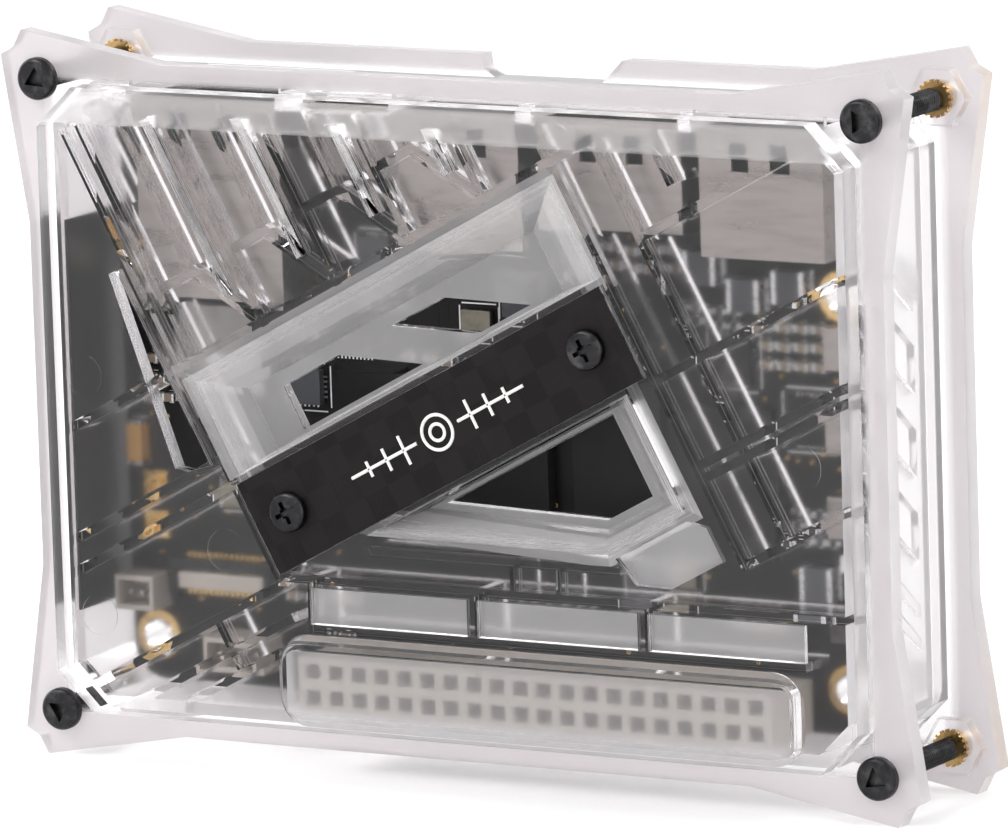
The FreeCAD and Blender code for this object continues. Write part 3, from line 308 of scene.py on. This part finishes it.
def solder_mask():
    """Black solder mask over copper, with a faint mottle."""
    finish = Finish("black_solder_mask")
    fleck = finish.noise(1500.0)
    cloud = finish.noise(160.0)
    base = finish.mix(finish.spread(fleck, 0.0, 1.0), (0.006, 0.006, 0.0065), (0.010, 0.0095, 0.010))
    finish.link(finish.mix(finish.spread(cloud, 0.0, 0.6), base, (0.013, 0.012, 0.012)),
                finish.shader.inputs["Base Color"])
    finish.link(finish.spread(fleck, 0.3, 0.45), finish.shader.inputs["Roughness"])
    finish.bump(fleck, 0.15, 0.00002)
    finish.set(Specular_IOR_Level=0.18)
    return finish.material


MATERIALS = {
    "clear": clear_plastic(),
    "carbon": twill(),
    "black_steel": metal("blackened_steel", (0.035, 0.034, 0.036), 0.28, 0.45, wear=0.02),
    "brass": metal("turned_brass", (0.5, 0.33, 0.13), 0.22, 0.4),
    "board": solder_mask(),
    "gold": metal("gold_plate", (0.7, 0.48, 0.2), 0.2, 0.36, 900.0),
    "cream": plastic("cream_nylon", (0.42, 0.385, 0.345), 0.4, 0.6),
    # Nickel colour set well below bare nickel: painted shade for the darker surroundings it reflects inside
    # the case
    "nickel": metal("nickel_with_painted_shade", (0.32, 0.295, 0.28), 0.24, 0.4, streak=6.0),
    "black_plastic": plastic("black_moulding", (0.012, 0.012, 0.013), 0.35, 0.55, specular=0.3),
    "package": plastic("black_package", (0.012, 0.012, 0.0125), 0.4, 0.6, 1400.0, specular=0.2),
    "can": metal("tinned_can", (0.36, 0.35, 0.34), 0.35, 0.5),
    "crystal": metal("crystal_lid", (0.2, 0.185, 0.15), 0.3, 0.45),
    "grey_package": plastic("grey_package", (0.07, 0.073, 0.08), 0.4, 0.6, 1400.0, specular=0.3),
    "ceramic": plastic("tan_ceramic", (0.22, 0.17, 0.125), 0.3, 0.5, 1200.0),
    "amber": plastic("amber_epoxy", (0.5, 0.27, 0.08), 0.25, 0.4, coat=0.3),
    "resistor": plastic("black_glaze", (0.018, 0.018, 0.022), 0.2, 0.35, 1200.0),
    "lamp": plastic("milky_epoxy", (0.8, 0.8, 0.75), 0.15, 0.3, coat=0.4),
    "antenna": plastic("black_film", (0.016, 0.016, 0.018), 0.3, 0.5, specular=0.3),
    "ink_lens": plastic("dark_lens", (0.02, 0.012, 0.016), 0.08, 0.16, coat=0.5),
    "plunger": plastic("white_nylon", (0.7, 0.69, 0.65), 0.35, 0.5),
}
SOLDER = metal("bright_solder", (0.62, 0.62, 0.62), 0.2, 0.36, 1600.0)
WHITE_PRINT = plastic("white_print", (0.86, 0.86, 0.84), 0.45, 0.6, 1500.0)

SMALL_EDGE = 0.06 * MM
ROUNDED_NODES = ("processor", "memory_chips", "storage_chip", "radio_can", "power_chips", "interface_chips",
                 "crystals", "inductors", "ceramic_capacitors", "amber_capacitors", "chip_resistors",
                 "status_lamps", "network_socket_shell", "usb_c_socket_shell", "usb_a_socket_left_shell",
                 "video_socket_shell", "usb_a_socket_right_shell", "side_switches")


def dress_nodes():
    """The record's finish on each node, and a small rounded edge on the plain blocks."""
    for label, node in frame["nodes"].items():
        node.data.materials.clear()
        node.data.materials.append(MATERIALS[SLOT_OF[label]])
        if label in ROUNDED_NODES:
            weld = node.modifiers.new("weld", "WELD")
            weld.merge_threshold = 0.001 * MM
            bevel = node.modifiers.new("small_edge", "BEVEL")
            bevel.width = SMALL_EDGE
            bevel.segments = 2
            bevel.limit_method = "ANGLE"
            bevel.angle_limit = math.radians(40.0)


# Mesh helpers

def solids_of(label):
    """The box of each separate solid in a CAD node."""
    shape = bmesh.new()
    shape.from_mesh(frame["nodes"][label].data)
    bmesh.ops.remove_doubles(shape, verts=shape.verts, dist=0.001 * MM)
    shape.verts.ensure_lookup_table()
    seen = set()
    boxes = []
    for start in shape.verts:
        if start.index in seen:
            continue
        seen.add(start.index)
        island = []
        waiting = [start]
        while waiting:
            vertex = waiting.pop()
            island.append(vertex.co.copy())
            for edge in vertex.link_edges:
                other = edge.other_vert(vertex)
                if other.index not in seen:
                    seen.add(other.index)
                    waiting.append(other)
        low = Vector([min(point[axis] for point in island) for axis in range(3)])
        high = Vector([max(point[axis] for point in island) for axis in range(3)])
        boxes.append((low, high))
    shape.free()
    return boxes


def add_block(shape, low, high, edge=0.02 * MM):
    """A block with its edges taken off."""
    low = Vector(low)
    high = Vector(high)
    size = high - low
    made = bmesh.ops.create_cube(shape, size=1.0)["verts"]
    for vertex in made:
        vertex.co = Vector([low[axis] + (vertex.co[axis] + 0.5) * size[axis] for axis in range(3)])
    edges = list({edge_ for vertex in made for edge_ in vertex.link_edges})
    bmesh.ops.bevel(shape, geom=edges, offset=min(edge, 0.3 * min(size)), segments=1, affect="EDGES")


def add_tube(shape, points, radius, sides=6, closed=False):
    """A tube along points, square to the line between its neighbours."""
    count = len(points)
    rings = []
    for index, point in enumerate(points):
        before = points[(index - 1) % count] if closed or index > 0 else point
        after = points[(index + 1) % count] if closed or index < count - 1 else point
        run = (after - before).normalized()
        side = run.cross(Vector((0, 1, 0)))
        if side.length < 0.01:
            side = run.cross(Vector((1, 0, 0)))
        side.normalize()
        other = run.cross(side)
        rings.append([shape.verts.new(point + radius * (math.cos(angle) * side + math.sin(angle) * other))
                      for angle in (2 * math.pi * step / sides for step in range(sides))])
    spans = count if closed else count - 1
    for index in range(spans):
        first = rings[index]
        second = rings[(index + 1) % count]
        for step in range(sides):
            following = (step + 1) % sides
            shape.faces.new((first[step], second[step], second[following], first[following]))
    if not closed:
        shape.faces.new(rings[0])
        shape.faces.new(list(reversed(rings[-1])))


def piece(name, shape, material, body="case", smooth=False):
    """A finished mesh that rides on a body."""
    bmesh.ops.recalc_face_normals(shape, faces=shape.faces)
    mesh = bpy.data.meshes.new(name)
    shape.to_mesh(mesh)
    shape.free()
    mesh.materials.append(material)
    for face in mesh.polygons:
        face.use_smooth = smooth
    thing = bpy.data.objects.new(name, mesh)
    scene.collection.objects.link(thing)
    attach(thing, body)


# Small pieces of the board

TRACK_SEED = 7
TRACK_COUNT = 170
VIA_SEED = 11
VIA_COUNT = 150


def component_ends():
    """Soldered metal ends on the capacitors, resistors and inductors, with solder at each foot."""
    shape = bmesh.new()
    for label, length, swell in (("ceramic_capacitors", 0.26, 0.02), ("chip_resistors", 0.2, 0.015),
                                 ("inductors", 0.5, 0.02), ("amber_capacitors", 0.4, 0.02)):
        for low, high in solids_of(label):
            swell_m = swell * MM
            upright = high.z - low.z > high.x - low.x
            axis = 2 if upright else 0
            for end, sign in ((low, 1), (high, -1)):
                first = Vector(low) - Vector((swell_m,) * 3)
                last = Vector(high) + Vector((swell_m,) * 3)
                last.y = high.y
                span = length * MM
                edge = end[axis]
                first[axis] = min(edge - sign * swell_m, edge + sign * span)
                last[axis] = max(edge - sign * swell_m, edge + sign * span)
                add_block(shape, first, last, 0.05 * MM)
                foot_low = first.copy()
                foot_high = last.copy()
                foot_low.y = high.y - 0.12 * MM
                foot_low[axis] = min(edge - sign * 0.22 * MM, edge + sign * span)
                foot_high[axis] = max(edge - sign * 0.22 * MM, edge + sign * span)
                add_block(shape, foot_low, foot_high, 0.05 * MM)
    piece("component_ends", shape, SOLDER)


def chip_leads():
    """Flat leads round the small chips, down on their pads."""
    shape = bmesh.new()
    pitch = 0.5 * MM
    wide = 0.11 * MM
    reach = 0.35 * MM
    for label in ("interface_chips", "power_chips"):
        for low, high in solids_of(label):
            centre = (low + high) / 2
            foot = high.y - 0.1 * MM
            count = int((high.z - low.z - 0.6 * MM) / pitch)
            for step in range(count):
                offset = pitch * (step - (count - 1) / 2)
                x = centre.x + offset
                z = centre.z + offset
                for first, last in ((low.x - reach, low.x), (high.x, high.x + reach)):
                    add_block(shape, (first, foot, z - wide), (last, high.y, z + wide))
                for first, last in ((low.z - reach, low.z), (high.z, high.z + reach)):
                    add_block(shape, (x - wide, foot, first), (x + wide, high.y, last))
    piece("chip_leads", shape, SOLDER)


def board_print():
    """White printed outlines and pin marks round the parts, with no letters."""
    shape = bmesh.new()
    line = 0.07 * MM
    top = BOARD_FACE - 0.02 * MM

    def mark(low_x, high_x, low_z, high_z):
        add_block(shape, (low_x, top, low_z), (high_x, BOARD_FACE, high_z), 0.005 * MM)

    def outline(low, high, gap, corner):
        left = low.x - gap
        right = high.x + gap
        bottom = low.z - gap
        head = high.z + gap
        for z in (bottom, head):
            mark(left + corner, right - corner, z - line, z + line)
        for x in (left, right):
            mark(x - line, x + line, bottom + corner, head - corner)

    for label, gap, corner in (("crystals", 0.55, 0.25), ("interface_chips", 0.75, 0.4),
                               ("power_chips", 0.8, 0.4)):
        for low, high in solids_of(label):
            outline(low, high, gap * MM, corner * MM)
    dash = 0.25 * MM
    thin = 0.04 * MM
    for label in ("ceramic_capacitors", "chip_resistors"):
        for low, high in solids_of(label):
            middle = (low.x + high.x) / 2
            for z in (low.z - 0.2 * MM, high.z + 0.2 * MM):
                mark(middle - dash, middle + dash, z - thin, z + thin)
    for low, high in solids_of("interface_chips"):
        for step in range(10):
            x = low.x + 5.0 * MM + 0.42 * MM * step
            z = high.z + 1.2 * MM
            mark(x, x + 0.18 * MM, z, z + 0.3 * MM)
    piece("board_print", shape, WHITE_PRINT)


def board_tracks():
    """Copper tracks under the mask, as thin raised lines along and across the board."""
    draw = random.Random(TRACK_SEED)
    shape = bmesh.new()
    height = 0.03 * MM
    keep = 2.0 * MM
    for _ in range(TRACK_COUNT):
        x = draw.uniform(BOARD_LOW.x + keep, BOARD_HIGH.x - 9.0 * MM)
        z = draw.uniform(BOARD_LOW.z + 7.0 * MM, BOARD_HIGH.z - 12.0 * MM)
        wide = draw.choice((0.1, 0.1, 0.14, 0.25)) * MM
        upright = draw.random() < 0.5
        long = draw.uniform(2.0, 9.0) * MM
        if upright:
            long = min(long, BOARD_HIGH.z - 10.0 * MM - z)
            add_block(shape, (x, BOARD_FACE - height, z), (x + wide, BOARD_FACE, z + long), 0.01 * MM)
        else:
            long = min(long, BOARD_HIGH.x - keep - x)
            add_block(shape, (x, BOARD_FACE - height, z), (x + long, BOARD_FACE, z + wide), 0.01 * MM)
    piece("board_tracks", shape, MATERIALS["board"])


def board_vias():
    """Small plated rings where tracks change layer."""
    draw = random.Random(VIA_SEED)
    shape = bmesh.new()
    for _ in range(VIA_COUNT):
        x = draw.uniform(BOARD_LOW.x + 2.0 * MM, BOARD_HIGH.x - 2.0 * MM)
        z = draw.uniform(BOARD_LOW.z + 7.0 * MM, BOARD_HIGH.z - 10.0 * MM)
        centre = Vector((x, BOARD_FACE - 0.01 * MM, z))
        ring = [centre + 0.17 * MM * Vector((math.cos(angle), 0, math.sin(angle)))
                for angle in (2 * math.pi * step / 10 for step in range(10))]
        add_tube(shape, ring, 0.06 * MM, 5, True)
    piece("board_vias", shape, MATERIALS["gold"])


# Case pieces

def screw_threads():
    """A thread on each case screw's bare shank, between the two flanges."""
    shape = bmesh.new()
    pitch = 0.4 * MM
    around = 14
    for low, high in solids_of("case_screws"):
        centre = (low + high) / 2
        points = []
        radius = 1.0 * MM
        turns = int((THREAD_END - THREAD_START) / pitch)
        for step in range(turns * around):
            angle = 2 * math.pi * step / around
            points.append(Vector((centre.x + radius * math.cos(angle), THREAD_START + pitch * step / around,
                                  centre.z + radius * math.sin(angle))))
        add_tube(shape, points, 0.12 * MM, 4)
    piece("screw_threads", shape, MATERIALS["black_steel"], smooth=True)


def on_plate(along, across):
    """A point on the name plate's face, measured along and across it."""
    run = along * math.cos(PANEL_TILT) - across * math.sin(PANEL_TILT)
    rise = along * math.sin(PANEL_TILT) + across * math.cos(PANEL_TILT)
    return Vector((PANEL_CENTRE.x + run, PLATE_LOW.y, PANEL_CENTRE.z + rise))


def plate_ornament():
    """A plain ornament of thin white lines: two rings between two bars, with short ticks."""
    shape = bmesh.new()
    line = 0.17 * MM

    def stroke(first, last):
        add_tube(shape, [on_plate(*first), on_plate(*last)], line, 6)

    for radius in (1.7, 0.8):
        ring = [on_plate(radius * MM * math.cos(angle), radius * MM * math.sin(angle))
                for angle in (2 * math.pi * step / 40 for step in range(40))]
        add_tube(shape, ring, line, 6, True)
    for side in (-1, 1):
        stroke((side * 2.6 * MM, 0.0), (side * 10.8 * MM, 0.0))
        for step in range(3):
            at = side * (4.2 + 2.2 * step) * MM
            tall = (1.5 - 0.35 * step) * MM
            stroke((at, -tall), (at, tall))
    piece("plate_ornament", shape, WHITE_PRINT)


# Floor, light and camera

LAMP_AIM = Vector((0, 0, 0.04))
BOUNCES = 24


def floor():
    half = 6.0
    mesh = bpy.data.meshes.new("studio_floor")
    corners = [(-half, -half, 0), (half, -half, 0), (half, half, 0), (-half, half, 0)]
    mesh.from_pydata(corners, [], [(0, 1, 2, 3)])
    plane = bpy.data.objects.new("studio_floor", mesh)
    scene.collection.objects.link(plane)
    finish = Finish("white_floor")
    finish.set(Base_Color=(0.95, 0.95, 0.95), Roughness=0.9)
    mesh.materials.append(finish.material)


def soft_box(name, place, size, power):
    data = bpy.data.lights.new(name, "AREA")
    data.shape = "RECTANGLE"
    data.size = size[0]
    data.size_y = size[1]
    data.energy = power
    lamp = bpy.data.objects.new(name, data)
    lamp.location = place
    lamp.rotation_euler = (LAMP_AIM - Vector(place)).to_track_quat("-Z", "Y").to_euler()
    scene.collection.objects.link(lamp)


def lights():
    world = bpy.data.worlds.new("studio_world")
    world.use_nodes = True
    background = world.node_tree.nodes["Background"]
    background.inputs["Color"].default_value = (1.0, 0.995, 1.0, 1.0)
    background.inputs["Strength"].default_value = 1.0
    scene.world = world
    soft_box("key_box", (-0.5, -0.6, 0.8), (0.45, 0.35), 4.0)
    soft_box("side_box", (0.8, -0.3, 0.35), (0.3, 0.5), 1.0)
    soft_box("left_strip", (-0.8, 0.1, 0.25), (0.16, 0.6), 2.0)
    soft_box("back_strip", (0.35, 0.75, 0.55), (0.6, 0.16), 2.5)


def camera():
    """A long lens, turned right of the case's front and a little above it."""
    turn = math.radians(29.861)
    rise = math.radians(10.074)
    roll = math.radians(-1.811)
    aim = Vector((1.142, 0.541, 35.139)) * MM
    distance = 1.01288
    forward = Vector((-math.sin(turn) * math.cos(rise), math.cos(turn) * math.cos(rise), -math.sin(rise)))
    level = forward.cross(Vector((0, 0, 1))).normalized()
    upright = level.cross(forward)
    right = math.cos(roll) * level + math.sin(roll) * upright
    up = right.cross(forward)
    data = bpy.data.cameras.new("photo_camera")
    data.sensor_width = 36.0
    data.lens = 378.45
    data.clip_start = 0.05
    data.clip_end = 60.0
    eye = bpy.data.objects.new("photo_camera", data)
    rotation = Matrix((right, up, -forward)).transposed().to_4x4()
    eye.matrix_world = Matrix.Translation(aim - forward * distance) @ rotation
    scene.collection.objects.link(eye)
    scene.camera = eye


dress_nodes()
component_ends()
chip_leads()
board_print()
board_tracks()
board_vias()
screw_threads()
plate_ornament()
floor()
lights()
camera()
scene.view_settings.view_transform = "Standard"
scene.cycles.max_bounces = BOUNCES
scene.cycles.transmission_bounces = BOUNCES
scene.cycles.transparent_max_bounces = BOUNCES
